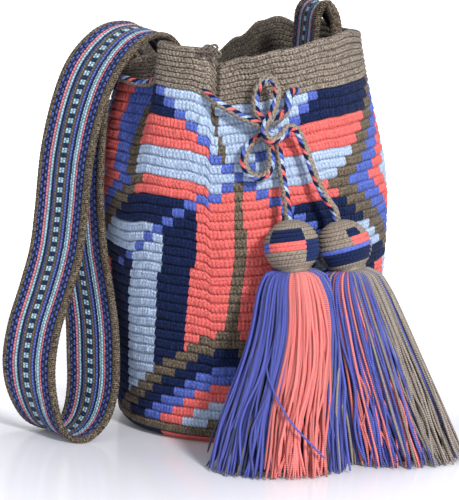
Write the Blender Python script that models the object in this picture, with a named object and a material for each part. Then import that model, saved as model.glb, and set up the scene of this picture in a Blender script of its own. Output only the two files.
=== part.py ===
"""Crocheted bucket bag with a woven shoulder strap, a drawstring tied in front and two tassels.

The bag stands on its flat base at z = 0, with its axis on the Z axis and its front towards -Y.
All lengths are in metres.
"""

import math

import bmesh
import bpy
import numpy as np
from mathutils import Vector

# Crocheted body
BASE_RADIUS = 0.1040  # flat round base, out to where its corner starts to turn up
WALL = 0.0040  # thickness of the crochet
CORNER = 0.0110  # rounding between base and wall
BELLY = ((0.011, 0.1140), (0.06, 0.1165), (0.12, 0.1195), (0.19, 0.1235), (0.24, 0.1215),
         (0.29, 0.1130), (0.35, 0.1045))
BODY_COLUMNS = 80  # one column for each three stitches
BODY_RINGS = 22
INNER_RINGS = 11

# The rim, all round, as (angle from the front in degrees, height): it sags where the strap pulls it down
RIM_HEIGHT = ((0, 0.331), (14, 0.337), (38, 0.344), (60, 0.3475), (90, 0.342), (121, 0.340), (137, 0.3465), (150, 0.338),
              (163, 0.347), (172, 0.343), (184, 0.328), (197, 0.311), (207, 0.313), (222, 0.327), (232, 0.333),
              (244, 0.322), (250, 0.316), (270, 0.319), (286, 0.320), (294, 0.3255), (303, 0.331), (315, 0.341),
              (336, 0.339), (341, 0.338), (346.5, 0.325))
# Where the patterned rows end and the plain rim band starts, as (angle, height)
BAND_FOOT = ((0, 0.2925), (14, 0.297), (38, 0.3025), (60, 0.3045), (90, 0.306), (120, 0.305), (163, 0.304), (184, 0.292),
             (197, 0.278), (215, 0.274), (250, 0.286), (262, 0.296), (275, 0.3015), (290, 0.3015), (303, 0.300),
             (317, 0.3065), (335, 0.3035), (341, 0.2995), (346.5, 0.289))
# Folds that the drawstring pulls into the wall: (angle, depth out (+) or in (-), half width, lowest height)
FOLDS = ((322, 0.0080, 15, 0.16), (299, -0.0100, 11, 0.20), (338, 0.0035, 7, 0.22), (353, -0.0065, 8, 0.21),
         (80, -0.0075, 38, 0.18), (155, 0.0030, 7, 0.20), (176, -0.0110, 13, 0.20), (210, -0.0060, 14, 0.20))

# Drawstring
CORD_RADIUS = 0.0033
EYELET_CLEARANCE = 0.0006
CORD_STEP = 0.0128
EYELET_LIFT = 0.0036  # eyelets lie this far over the patterned rows

# Shoulder strap
STRAP_THICK = 0.0030
STRAP_PARTS = 4  # stretches between two of the places listed in STRAP

# Tassels
CAP_RADIUS = 0.0225
CAP_SHELL = 0.0025
CAP_TOP_HOLE = 0.0042
CAP_NECK_HOLE = 0.0146
NECK_RADIUS = 0.0118
TASSEL_LOBES = 22
SKIRTS_FACE = (0.90, 0.436, 0)  # square to the plane on which the two skirts meet
GAP = 0.0003


def at(angle, radius, height):
    """Point at an angle in degrees from the front, positive to the right as seen from the front."""
    a = math.radians(angle)
    return Vector((radius * math.sin(a), -radius * math.cos(a), height))


def turn_between(a, b):
    return (a - b + 180) % 360 - 180


def ease(t):
    t = min(1.0, max(0.0, t))
    return t * t * (3 - 2 * t)


def round_the_bag(stops, angle):
    """Height at an angle, eased from one of the stops to the next."""
    angle %= 360
    stops = (*stops, (360 + stops[0][0], stops[0][1]))
    for (a, low), (b, high) in zip(stops, stops[1:]):
        if a <= angle <= b:
            return low + (high - low) * ease((angle - a) / (b - a))


def rim_height(angle):
    return round_the_bag(RIM_HEIGHT, angle)


def belly(height):
    """Outer radius of the unfolded body at a height, a smooth curve through BELLY."""
    h, r = zip(*BELLY)
    i = max(1, min(len(h) - 2, sum(height >= x for x in h)))
    i = max(1, min(i, len(h) - 2))
    weights = [(height - h[i]) * (height - h[i + 1]) / ((h[i - 1] - h[i]) * (h[i - 1] - h[i + 1])),
               (height - h[i - 1]) * (height - h[i + 1]) / ((h[i] - h[i - 1]) * (h[i] - h[i + 1])),
               (height - h[i - 1]) * (height - h[i]) / ((h[i + 1] - h[i - 1]) * (h[i + 1] - h[i]))]
    return sum(w * r[i - 1 + n] for n, w in enumerate(weights))


def wall_radius(angle, height):
    """Outer radius of the wall with its folds, which fade out downwards."""
    radius = belly(height)
    for centre, depth, half, lowest in FOLDS:
        fade = ease((height - lowest) / (0.335 - lowest))
        radius += depth * fade * math.exp(-((turn_between(angle, centre) / half) ** 2))
    return radius


def wall_height(angle, share):
    """Height on the wall at a share of the way from the corner to the rim at that angle."""
    return CORNER + share * (rim_height(angle) - CORNER)


def material(name, colour, roughness):
    mat = bpy.data.materials.new(name)
    mat.use_nodes = True
    shader = mat.node_tree.nodes["Principled BSDF"]
    shader.inputs["Base Color"].default_value = (*colour, 1)
    shader.inputs["Roughness"].default_value = roughness
    shader.inputs["Metallic"].default_value = 0.0
    return mat


def add_mesh(name, points, faces, mat):
    mesh = bpy.data.meshes.new(name)
    mesh.from_pydata([tuple(p) for p in points], [], faces)
    work = bmesh.new()
    work.from_mesh(mesh)
    bmesh.ops.recalc_face_normals(work, faces=work.faces)
    work.to_mesh(mesh)
    work.free()
    mesh.materials.append(mat)
    mesh.shade_smooth()
    mesh.set_sharp_from_angle(angle=math.radians(50))
    piece = bpy.data.objects.new(name, mesh)
    bpy.context.collection.objects.link(piece)
    return piece


def skin(rings):
    """Faces over a list of equal closed rings, with a point in the middle of the first and last."""
    points, faces = [], []
    size = len(rings[0])
    for ring in rings:
        points += ring
    for k in range(len(rings) - 1):
        for i in range(size):
            j = (i + 1) % size
            faces.append((k * size + i, k * size + j, (k + 1) * size + j, (k + 1) * size + i))
    for ring, start in ((rings[0], 0), (rings[-1], (len(rings) - 1) * size)):
        middle = len(points)
        points.append(sum((Vector(p) for p in ring), Vector()) / size)
        faces += [(start + i, start + (i + 1) % size, middle) for i in range(size)]
    return points, faces


def tube_round(rings):
    """Faces over rings whose last ring joins the first again, as on a shell with two openings."""
    size = len(rings[0])
    points = [p for ring in rings for p in ring]
    faces = []
    for k in range(len(rings)):
        nxt = (k + 1) % len(rings)
        for i in range(size):
            j = (i + 1) % size
            faces.append((k * size + i, k * size + j, nxt * size + j, nxt * size + i))
    return points, faces


def smooth_line(stops, step):
    """Evenly spaced points on a smooth curve through the stops."""
    stops = [Vector(s) for s in stops]
    ends = [2 * stops[0] - stops[1]] + stops + [2 * stops[-1] - stops[-2]]
    fine = []
    for a, b, c, d in zip(ends, ends[1:], ends[2:], ends[3:]):
        for n in range(16):
            t = n / 16
            fine.append(0.5 * (2 * b + (c - a) * t + (2 * a - 5 * b + 4 * c - d) * t * t
                               + (3 * b - a - 3 * c + d) * t ** 3))
    fine.append(stops[-1])
    walked = np.concatenate([[0], np.cumsum([(q - p).length for p, q in zip(fine, fine[1:])])])
    count = max(2, round(walked[-1] / step) + 1)
    where = np.linspace(0, walked[-1], count)
    line = np.array([tuple(p) for p in fine])
    return [Vector(np.array([np.interp(w, walked, line[:, k]) for k in range(3)])) for w in where]


# The strap's two edges, as (front edge, step from there to the rear edge). It starts sewn inside the rim at
# the right, stands up as a small loop, crosses the mouth, passes over the rim at the left, hangs to the floor
# in one long loop and comes back up to the rim, inside which its other end is sewn.
STRAP = (
    ((0.0765, -0.044, 0.3165), (0.0120, 0.0588, 0.000)),
    ((0.0765, -0.040, 0.3380), (0.0040, 0.0599, 0.000)),
    ((0.0765, -0.033, 0.3565), (-0.0080, 0.0595, 0.000)),
    ((0.0705, -0.026, 0.3672), (-0.0150, 0.0583, 0.000)),
    ((0.0635, -0.020, 0.3590), (-0.0175, 0.0575, 0.000)),
    ((0.0608, -0.018, 0.3380), (-0.0175, 0.0575, 0.000)),
    ((0.0575, -0.018, 0.3120), (-0.0175, 0.0575, 0.000)),
    ((0.0430, -0.018, 0.2880), (-0.0180, 0.0570, 0.000)),
    ((0.0180, -0.020, 0.273), (-0.0160, 0.0580, 0.000)),
    ((-0.0100, -0.022, 0.273), (-0.0180, 0.0570, 0.000)),
    ((-0.0340, -0.024, 0.290), (-0.0220, 0.0560, 0.000)),
    ((-0.0480, -0.026, 0.316), (-0.0280, 0.0530, 0.002)),
    ((-0.0630, -0.031, 0.3385), (-0.0340, 0.0490, 0.006)),
    ((-0.0780, -0.040, 0.3410), (-0.0400, 0.0440, 0.008)),
    ((-0.0925, -0.047, 0.3320), (-0.0440, 0.0400, 0.009)),
    ((-0.1080, -0.053, 0.3110), (-0.0475, 0.0360, 0.008)),
    ((-0.1205, -0.060, 0.2820), (-0.0480, 0.0360, 0.004)),
    ((-0.1305, -0.065, 0.2400), (-0.0480, 0.0360, 0.002)),
    ((-0.1363, -0.070, 0.1890), (-0.0480, 0.0360, 0.000)),
    ((-0.1405, -0.075, 0.1580), (-0.0480, 0.0360, 0.000)),
    ((-0.1490, -0.081, 0.1270), (-0.0480, 0.0360, 0.000)),
    ((-0.1595, -0.089, 0.0930), (-0.0480, 0.0360, 0.000)),
    ((-0.1640, -0.094, 0.0620), (-0.0480, 0.0360, 0.000)),
    ((-0.1620, -0.099, 0.0350), (-0.0460, 0.0385, 0.000)),
    ((-0.1555, -0.105, 0.0120), (-0.0400, 0.0447, 0.000)),
    ((-0.1425, -0.108, 0.0026), (-0.0340, 0.0494, 0.000)),
    ((-0.1290, -0.104, 0.0065), (-0.0360, 0.0480, 0.000)),
    ((-0.1174, -0.095, 0.0190), (-0.0420, 0.0430, 0.000)),
    ((-0.1110, -0.085, 0.0390), (-0.0460, 0.0385, 0.000)),
    ((-0.1096, -0.075, 0.0620), (-0.0480, 0.0360, 0.000)),
    ((-0.1110, -0.065, 0.0930), (-0.0480, 0.0360, 0.000)),
    ((-0.1155, -0.057, 0.1250), (-0.0480, 0.0360, 0.000)),
    ((-0.1210, -0.051, 0.1600), (-0.0480, 0.0360, 0.000)),
    ((-0.1235, -0.046, 0.2000), (-0.0470, 0.0373, 0.000)),
    ((-0.1225, -0.042, 0.2430), (-0.0420, 0.0428, 0.000)),
    ((-0.1195, -0.036, 0.2850), (-0.0260, 0.0541, 0.000)),
    ((-0.1150, -0.031, 0.3190), (-0.0090, 0.0593, 0.000)),
    ((-0.1045, -0.029, 0.3290), (-0.0040, 0.0598, 0.000)),
    ((-0.0930, -0.029, 0.3215), (-0.0010, 0.0599, 0.000)),
    ((-0.0905, -0.029, 0.2970), (0.0000, 0.0600, 0.000)),
)

# The drawstring's route: up from the left tassel, through the knot and the lower loop of the bow to the left
# eyelet, round the rim in and out of the eyelets, back to the knot, round the upper loop and down to the right
# tassel. Its free places are points; round the rim they are (angle, how far outside the wall's middle).
OUTSIDE, INSIDE = 0.0072, -0.0078
LEFT_TAIL = ((0.0316, -0.1365, 0.2190), (0.0298, -0.1315, 0.2290), (0.0280, -0.1275, 0.2400), (0.0262, -0.1250, 0.2530),
             (0.0235, -0.1235, 0.2640))
LOWER_LOOP = ((0.0160, -0.1225, 0.2690), (0.0080, -0.1235, 0.2655), (0.0000, -0.1275, 0.2590), (-0.0030, -0.1300, 0.2480),
              (0.0010, -0.1315, 0.2385), (0.0090, -0.1325, 0.2350), (0.0170, -0.1325, 0.2390), (0.0195, -0.1320, 0.2490),
              (0.0185, -0.1310, 0.2600))
TO_LEFT_EYELET = ((0.0160, -0.1290, 0.2710), (0.0095, -0.1270, 0.2775), (-0.0020, -0.1215, 0.2820),
                  (-0.0140, -0.1190, 0.2885), (-0.0250, -0.1185, 0.2950))
THROUGH = -0.0020
ROUND_THE_RIM = ((-16, 0.0065), (-19.5, THROUGH), (-24, INSIDE), (-33, INSIDE), (-42, INSIDE), (-50, INSIDE),
                 (-55.5, THROUGH), (-61, OUTSIDE), (-70, OUTSIDE), (-79, OUTSIDE), (-88, OUTSIDE), (-97, OUTSIDE),
                 (-106, OUTSIDE), (-113, OUTSIDE), (-119, THROUGH), (-125, INSIDE), (-135, INSIDE), (-145, INSIDE),
                 (-155, INSIDE), (-161, THROUGH), (-167, OUTSIDE), (-176, OUTSIDE), (-185, OUTSIDE), (-191, THROUGH),
                 (-197, INSIDE), (-206, INSIDE), (-215, INSIDE), (-221, THROUGH), (-227, OUTSIDE), (-236, OUTSIDE),
                 (-245, OUTSIDE), (-251, THROUGH), (-257, INSIDE), (-266, INSIDE), (-275, INSIDE), (-284, INSIDE),
                 (-293, INSIDE), (-302, INSIDE), (-311, INSIDE), (-320, INSIDE), (-329, INSIDE), (-334, INSIDE),
                 (-338.5, THROUGH), (-342.5, 0.0065))
FROM_RIGHT_EYELET = ((0.0330, -0.1165, 0.2900), (0.0260, -0.1205, 0.2820), (0.0160, -0.1215, 0.2790))
UPPER_LOOP = ((0.0080, -0.1205, 0.2860), (0.0065, -0.1195, 0.2980), (0.0100, -0.1190, 0.3100), (0.0170, -0.1200, 0.3160),
              (0.0235, -0.1215, 0.3100), (0.0240, -0.1235, 0.2980), (0.0200, -0.1280, 0.2870), (0.0150, -0.1345, 0.2790))
RIGHT_TAIL = ((0.0140, -0.1365, 0.2715), (0.0195, -0.1370, 0.2660), (0.0270, -0.1355, 0.2690), (0.0330, -0.1310, 0.2755),
              (0.0400, -0.1265, 0.2735), (0.0455, -0.1245, 0.2630), (0.0510, -0.1250, 0.2480), (0.0570, -0.1260, 0.2320),
              (0.0635, -0.1262, 0.2190))

# Tassels: cap centre, direction up through the cap, foot centre and the foot's half widths across and in depth
TASSELS = {
    "left": ((0.0366, -0.1440, 0.1790), (-0.12, 0.16, 1.0), (0.0260, -0.1810), (0.0550, 0.0340)),
    "right": ((0.0800, -0.1290, 0.1760), (-0.26, 0.10, 1.0), (0.1270, -0.1500), (0.0510, 0.0340)),
}


def rim_stop(angle, out):
    """Point of the drawstring beside the wall, at the height of the eyelets."""
    height = round_the_bag(BAND_FOOT, angle) + EYELET_LIFT
    return at(angle, wall_radius(angle, height) - WALL / 2 + out, height)


def cord_route():
    ring = [rim_stop(a, out) for a, out in ROUND_THE_RIM]
    return [*LEFT_TAIL, *LOWER_LOOP, *TO_LEFT_EYELET, *ring, *FROM_RIGHT_EYELET, *UPPER_LOOP, *RIGHT_TAIL]


def cord_ends():
    """The straight first and last stretches of the cord, through the top holes of the caps to the knots there."""
    ends = []
    for side in ("left", "right"):
        centre, up = (Vector(v) for v in TASSELS[side][:2])
        up.normalize()
        ends.append([centre + up * reach for reach in (0.0178 + GAP, CAP_RADIUS + 0.002, CAP_RADIUS + 0.009)])
    return ends


def make_tube(name, points, radius, resolution, mat):
    curve = bpy.data.curves.new(name, "CURVE")
    curve.dimensions = "3D"
    curve.bevel_depth = radius
    curve.bevel_resolution = resolution
    curve.use_fill_caps = True
    line = curve.splines.new("POLY")
    line.points.add(len(points) - 1)
    for place, p in zip(line.points, points):
        place.co = (*p, 1)
    curve.materials.append(mat)
    piece = bpy.data.objects.new(name, curve)
    bpy.context.collection.objects.link(piece)
    return piece


def body_rings():
    """Rings from the middle of the base up the outside, over the rim and down the inside to the floor."""
    angles = [360 * i / BODY_COLUMNS for i in range(BODY_COLUMNS)]
    rings = [[at(a, BASE_RADIUS * share, 0) for a in angles] for share in (0.5, 1.0)]
    foot = BELLY[0][1]
    for turn in (30, 60):
        out = BASE_RADIUS + (foot - BASE_RADIUS) * math.sin(math.radians(turn))
        rings.append([at(a, out, CORNER * (1 - math.cos(math.radians(turn)))) for a in angles])
    for k in range(BODY_RINGS + 1):
        rings.append([at(a, wall_radius(a, wall_height(a, k / BODY_RINGS)), wall_height(a, k / BODY_RINGS))
                      for a in angles])
    top = [(a, rim_height(a)) for a in angles]
    rings.append([at(a, wall_radius(a, h) - WALL * 0.5, h + WALL * 0.3) for a, h in top])
    for k in range(INNER_RINGS, -1, -1):
        share = k / INNER_RINGS
        ring = []
        for a in angles:
            h = wall_height(a, share) + (1 - share) * WALL * 0.5
            ring.append(at(a, wall_radius(a, h) - WALL, h))
        rings.append(ring)
    rings += [[at(a, BASE_RADIUS * share, WALL) for a in angles] for share in (0.96, 0.5)]
    return rings


def make_body(cord, mat):
    """The bag itself: base, wall and rim band crocheted in one piece, with eyelets for the drawstring."""
    body = add_mesh("bag_body", *skin(body_rings()), mat)
    cutter = make_tube("eyelet_cutter", cord, CORD_RADIUS + EYELET_CLEARANCE, 2, mat)
    cutter.hide_render = True
    cutter.display_type = "WIRE"
    flat = bpy.data.meshes.new_from_object(cutter.evaluated_get(bpy.context.evaluated_depsgraph_get()))
    bpy.data.objects.remove(cutter)
    tool = bpy.data.objects.new("eyelet_cutter", flat)
    bpy.context.collection.objects.link(tool)
    tool.hide_render = True
    tool.display_type = "WIRE"
    cut = body.modifiers.new("eyelets", "BOOLEAN")
    cut.object = tool
    cut.operation = "DIFFERENCE"
    cut.solver = "EXACT"
    return body


def make_strap(mat):
    """The woven strap, a band whose two edges follow STRAP."""
    front = smooth_strip([Vector(p) for p, _ in STRAP])
    rear = smooth_strip([Vector(p) + Vector(w) for p, w in STRAP])
    rings = []
    for k, (p, q) in enumerate(zip(front, rear)):
        before, after = max(0, k - 1), min(len(front) - 1, k + 1)
        along = (front[after] + rear[after]) - (front[before] + rear[before])
        normal = along.cross(q - p).normalized() * STRAP_THICK / 2
        rings.append([p - normal, q - normal, q + normal, p + normal])
    points = [p for ring in rings for p in ring]
    faces = [(0, 1, 2, 3), tuple(len(points) - n for n in (1, 2, 3, 4))]
    for k in range(len(rings) - 1):
        for i in range(4):
            j = (i + 1) % 4
            faces.append((4 * k + i, 4 * k + j, 4 * k + 4 + j, 4 * k + 4 + i))
    return add_mesh("shoulder_strap", points, faces, mat)


def smooth_strip(stops):
    """A smooth curve through the stops with STRAP_PARTS stretches between two of them."""
    ends = [2 * stops[0] - stops[1]] + stops + [2 * stops[-1] - stops[-2]]
    line = []
    for a, b, c, d in list(zip(ends, ends[1:], ends[2:], ends[3:])):
        for n in range(STRAP_PARTS):
            t = n / STRAP_PARTS
            line.append(0.5 * (2 * b + (c - a) * t + (2 * a - 5 * b + 4 * c - d) * t * t
                               + (3 * b - a - 3 * c + d) * t ** 3))
    return line + [stops[-1]]


def frame_of(up):
    up = Vector(up).normalized()
    across = Vector((1, 0, 0))
    across = (across - up * across.dot(up)).normalized()
    return across, up.cross(across), up


def ball_ring(centre, axes, along, radius, count):
    u, v, w = axes
    return [centre + w * along + (u * math.cos(2 * math.pi * i / count) + v * math.sin(2 * math.pi * i / count)) * radius
            for i in range(count)]


def make_cap(side, mat):
    """The crocheted ball over the head of a tassel, a shell open at the top for the cord and at the neck."""
    centre, up = Vector(TASSELS[side][0]), TASSELS[side][1]
    axes = frame_of(up)
    rings = []
    for radius, turned in ((CAP_RADIUS, 1), (CAP_RADIUS - CAP_SHELL, -1)):
        top, low = math.asin(CAP_TOP_HOLE / radius), math.pi - math.asin(CAP_NECK_HOLE / radius)
        turns = [top + (low - top) * n / 10 for n in range(11)][::turned]
        rings += [ball_ring(centre, axes, radius * math.cos(t), radius * math.sin(t), 28) for t in turns]
    return add_mesh(f"tassel_cap_{side}", *tube_round(rings), mat)


def skirt_spread(share):
    """How far a skirt has spread at a share of its way down: it domes out of the neck, then opens slowly."""
    return 0.42 * (1 - math.exp(-share / 0.035)) + 0.58 * share


def on_its_side(p, side, gap):
    """The point, pushed back where one skirt would reach past the slanting plane on which the two meet."""
    necks = [Vector(TASSELS[s][0]) for s in ("left", "right")]
    feet = [Vector((*TASSELS[s][2], 0)) for s in ("left", "right")]
    neck, foot = sum(necks, Vector()) / 2, sum(feet, Vector()) / 2
    across = Vector(SKIRTS_FACE).normalized()
    past = (p - foot.lerp(neck, p.z / neck.z)).dot(across) * (1 if side == "left" else -1) + gap
    if past > 0:
        p = p - across * past * (1 if side == "left" else -1)
    return p


def make_yarn(side, mat):
    """The bundle of yarn: a head inside the cap, a tied neck and a skirt that spreads to the floor."""
    centre, up, foot, half = TASSELS[side]
    centre = Vector(centre)
    across, deep, axis = frame_of(up)
    head = ((0.0080, 0.0060), (0.0065, 0.0110), (0.0010, 0.0160), (-0.0060, 0.0172), (-0.0120, 0.0150),
            (-0.0165, NECK_RADIUS), (-0.0215, NECK_RADIUS))
    rings = []
    count = TASSEL_LOBES * 2
    for along, radius in head:
        rings.append(ball_ring(centre, (across, deep, axis), along, radius, count))
    start = centre + axis * -0.0215
    end = Vector((foot[0], foot[1], 0))
    for share in (0.02, 0.045, 0.08, 0.14, 0.25, 0.40, 0.58, 0.78, 1.0):
        # The strands leave the neck along its axis and hang more and more towards the foot.
        lean = -axis * start.z * share
        middle = (start + lean).lerp(start.lerp(end, share), ease(share * 1.3))
        middle.z = start.z * (1 - share)
        level = ease(share * 2.5)
        u, v = across.lerp(Vector((1, 0, 0)), level), deep.lerp(Vector((0, 1, 0)), level)
        wide = NECK_RADIUS + (half[0] - NECK_RADIUS) * skirt_spread(share)
        thick = NECK_RADIUS + (half[1] - NECK_RADIUS) * skirt_spread(share)
        ring = []
        for i in range(count):
            a = 2 * math.pi * i / count
            lobe = 1 - (0.04 if i % 2 else 0.0) * ease(share * 3)
            p = middle + u * (wide * lobe * math.cos(a)) + v * (thick * lobe * math.sin(a))
            ring.append(on_its_side(p, side, GAP))
        rings.append(ring)
    for p in rings[-1]:
        p.z = 0
    return add_mesh(f"tassel_yarn_{side}", *skin(rings), mat)


def make_ring(name, centre, axes, along, inner, outer, tall, mat):
    """A band with a rounded outside, wound round a neck."""
    rings = []
    for radius, lift in ((inner, tall / 2), (inner, -tall / 2), (outer - tall / 6, -tall / 2), (outer, 0.0),
                         (outer - tall / 6, tall / 2)):
        rings.append(ball_ring(centre, axes, along + lift, radius, 24))
    return add_mesh(name, *tube_round(rings), mat)


def make_knot(side, mat):
    """The stop knot at the cord's end, on the yarn's head inside the cap."""
    centre, up = Vector(TASSELS[side][0]), TASSELS[side][1]
    axes = frame_of(up)
    middle, radius = 0.0130, 0.0047
    rings = [ball_ring(centre, axes, middle + radius * math.cos(t), radius * math.sin(t), 14)
             for t in [math.pi * n / 8 for n in range(1, 8)]]
    return add_mesh(f"cord_knot_{side}", *skin(rings), mat)


def main():
    for left_over in list(bpy.data.objects):
        bpy.data.objects.remove(left_over, do_unlink=True)
    taupe = material("taupe_crochet", (0.20, 0.16, 0.10), 0.95)
    band = material("strap_weave", (0.05, 0.08, 0.20), 0.9)
    braid = material("cord_braid", (0.10, 0.12, 0.45), 0.85)
    ends = cord_ends()
    route = smooth_line([*ends[0], *cord_route(), *reversed(ends[1])], CORD_STEP)
    make_tube("drawstring", route, CORD_RADIUS, 2, braid)
    make_body(route, taupe)
    make_strap(band)
    for side, colour in (("left", (0.85, 0.14, 0.11)), ("right", (0.10, 0.12, 0.55))):
        centre, axes = Vector(TASSELS[side][0]), frame_of(TASSELS[side][1])
        make_cap(side, material(f"cap_crochet_{side}", (0.20, 0.16, 0.10), 0.95))
        make_yarn(side, material(f"tassel_yarn_{side}", colour, 0.8))
        make_ring(f"neck_binding_{side}", centre, axes, -0.0190, NECK_RADIUS + GAP, CAP_NECK_HOLE - 0.0006, 0.0036,
                  material(f"binding_yarn_{side}", (0.20, 0.16, 0.10), 0.9))
        make_knot(side, material(f"knot_braid_{side}", (0.10, 0.12, 0.45), 0.85))


main()
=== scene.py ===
"""Looks of the crocheted bucket bag: yarn in every piece, at the places that the frame gives."""

import math
import random

import bpy
import numpy as np
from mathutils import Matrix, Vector


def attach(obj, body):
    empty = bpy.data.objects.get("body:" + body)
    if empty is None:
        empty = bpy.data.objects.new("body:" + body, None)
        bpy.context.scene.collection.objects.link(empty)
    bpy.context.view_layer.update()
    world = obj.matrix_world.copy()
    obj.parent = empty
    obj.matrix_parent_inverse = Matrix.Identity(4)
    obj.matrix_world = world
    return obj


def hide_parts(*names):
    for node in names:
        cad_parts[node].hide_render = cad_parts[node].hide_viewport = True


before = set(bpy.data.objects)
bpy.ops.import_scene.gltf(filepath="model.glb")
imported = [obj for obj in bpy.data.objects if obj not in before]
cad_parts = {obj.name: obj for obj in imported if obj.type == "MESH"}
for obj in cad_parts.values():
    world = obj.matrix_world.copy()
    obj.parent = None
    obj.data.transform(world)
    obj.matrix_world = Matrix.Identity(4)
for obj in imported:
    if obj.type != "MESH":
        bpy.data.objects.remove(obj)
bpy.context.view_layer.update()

# Camera: the photograph's angle; the photograph's frame of 459 x 500 pixels is not set as the render's size
# here
CAMERA_ELEVATION = 11
CAMERA_DISTANCE = 2.0
CAMERA_TARGET = Vector((-0.0148, 0, 0.148))
CAMERA_LENS = 162

# Yarns: plain sRGB colour, and how strongly its fibres vary in brightness
YARNS = {
    "taupe": ((148, 136, 124), 1.0),
    "navy": ((22, 36, 76), 0.85),
    "coral": ((238, 112, 108), 0.36),
    "periwinkle": ((90, 110, 196), 0.5),
    "light_blue": ((180, 200, 230), 0.34),
    "aqua": ((172, 214, 230), 0.3),
    "pink": ((230, 134, 148), 0.3),
    "deep_blue": ((26, 46, 94), 0.6),
    "violet": ((68, 80, 176), 0.45),
    "salmon": ((242, 128, 122), 0.36),
    # A darker, browner taupe for the pattern's taupe, the bottom row, the strap and some strands: partly the
    # yarn's own tone, partly painted shade of the recessed front line and the shaded foot.
    "brown": ((112, 100, 86), 0.85),
}
WALL_YARNS = ("taupe", "navy", "coral", "periwinkle", "light_blue", "brown")
CAP_YARNS = ("taupe", "navy", "coral", "periwinkle", "deep_blue")

# The skirts' strands have their own tones of two yarns
STRAND_YARNS = {"periwinkle": "violet", "coral": "salmon"}
# Light tint mixed into the crests of the glossy strands' plies: a painted glint.
PAINTED_GLINT_TINT = (0.78, 0.8, 1.0)  # of the crests of a strand's plies
# Noise of the fibres and of larger patches, relief of the fuzz, and the least brightness a fleck leaves
FIBRES = 760
PATCHES = 45
FUZZ = 0.0004
DARKEST = 0.18

# The body as the source gives it: radii by height, heights by angle, and folds as
# (angle, depth, half width, height where it starts)
BASE_RADIUS = 0.104
WALL = 0.004
CORNER = 0.011
BELLY = ((0.011, 0.114), (0.06, 0.1165), (0.12, 0.1195), (0.19, 0.1235), (0.24, 0.1215), (0.29, 0.113),
         (0.35, 0.1045))
RIM_HEIGHT = ((0, 0.331), (14, 0.337), (38, 0.344), (60, 0.3475), (90, 0.342), (121, 0.34), (137, 0.3465),
              (150, 0.338), (163, 0.347), (172, 0.343), (184, 0.328), (197, 0.311), (207, 0.313),
              (222, 0.327), (232, 0.333), (244, 0.322), (250, 0.316), (270, 0.319), (286, 0.32),
              (294, 0.3255), (303, 0.331), (315, 0.341), (336, 0.339), (343, 0.338), (345.8, 0.325))
BAND_FOOT = ((0, 0.2925), (14, 0.297), (38, 0.3025), (60, 0.3045), (90, 0.306), (120, 0.305), (163, 0.304),
             (184, 0.292), (197, 0.278), (215, 0.274), (250, 0.286), (262, 0.296), (275, 0.3015),
             (290, 0.3015), (303, 0.3), (317, 0.3065), (335, 0.3035), (343, 0.2985), (346, 0.2895))
FOLDS = ((322, 0.008, 15, 0.16), (299, -0.01, 11, 0.2), (338, 0.0035, 7, 0.22), (353, -0.0065, 8, 0.21),
         (80, -0.0075, 38, 0.18), (155, 0.003, 7, 0.2), (176, -0.011, 13, 0.2), (210, -0.006, 14, 0.2))
FOLDS_FULL = 0.335  # height at which the folds reach their full depth

# Softer folds that only the yarn shows, as (angle, depth, half width, height of its middle, half height)
TUCKS = ((-56, -0.018, 9, 0.32, 0.058), (-97, 0.008, 21, 0.24, 0.06),
         (-14.6, -0.008, 1.7, 0.315, 0.035), (-51, -0.013, 5, 0.335, 0.032),
         (14, -0.0055, 20, 0.304, 0.02), (14, 0.007, 20, 0.342, 0.02))

# Crochet of the body: stitches round it, three to a cell of the pattern, and its rows from the rim down
STITCHES_PER_CELL = 3
CELLS = 72
STITCHES = CELLS * STITCHES_PER_CELL
ROWS = 36
RIM_ROWS = 8
RIM_STEPS = 540
# A row's section from its top down, as (share of the row, relief)
ROW_RELIEF = ((0.0, -0.0011), (0.08, 0.0002), (0.22, 0.0009), (0.38, 0.0006), (0.56, 0.0011), (0.76, 0.0009),
              (0.92, -0.0002))
# Across a stitch: the gap beside it and its two shoulders
STITCH_RELIEF = (-0.0003, 0.0002, 0.0001)
# How far stitches are out of place, outwards in metres and sideways in stitches, and how rows rise and fall
STITCH_PUSH = 0.00018
STITCH_SHIFT = 0.07
STITCH_SLANT = 0.15
ROW_WAVE = 0.0003
TOOTH = 0.0005
LAST_ROW_END = CORNER * 0.55
# How the crocheting drifts sideways, as (row, angle of the front's centre)
DRIFT = ((-8, -5), (0, -4), (8, -3.2), (16, -3.3), (24, -7.4), (31, -10.6), (36, -12.6))
# The thin line down the front leans to the left under the flap, as (row, cells)
LINE_LEAN = ((-8, 2.4), (0, 2.2), (3, 1.6), (6.5, 0.7), (8, 0))
# Rows of the pattern: where the front's diamond crosses itself, where the side diamonds have their tips,
# where the columns start, and where the foot's stairs start in the middle of the front
CROSSING_ROW = 7
TIPS_ROW = 9
COLUMNS_ROW = 19
FOOT_ROW = 23
# Columns below the crossing, as (cells from the middle, yarn), and bands beside it, as (last row, yarn)
COLUMNS = ((3.4, "coral"), (6.2, "navy"), (9.5, "light_blue"), (13.3, "navy"), (15.5, "coral"))
BANDS = ((2, "navy"), (5, "coral"), (8, "light_blue"), (10, "coral"), (13, "navy"), (16, "light_blue"))
FOOT_BANDS = ("brown", "navy", "periwinkle", "coral", "light_blue", "brown")
TIP_BANDS = ("brown", "periwinkle", "coral", "light_blue")
# The diamonds at the sides: where their tips start, and how far in their first three bands reach, in cells
LEFT_BANDS = (8.5, 1.7, 3.6, 6.0)
RIGHT_BANDS = (7.5, 2.3, 5.0, 7.6)
LEFT_TIP_END = 27.5
# Cells at the left that the deep tuck hides, as (row, first hidden cell, hidden cells)
HIDDEN = ((-8, 7.6, 8.6), (0, 7.6, 8.4), (3, 8.7, 4.7), (8, 8.9, 0.2), (10, 9, 0), (36, 9, 0))

# Strap: its front edge as points, each with the way across to its rear edge
STRAP_WIDTH = 0.06
STRAP_THICK = 0.0024
EDGE_WIDTH = 0.005
STRAP_PERIOD = 0.0086  # of the ladder in its middle
WARPS = 20
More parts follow.
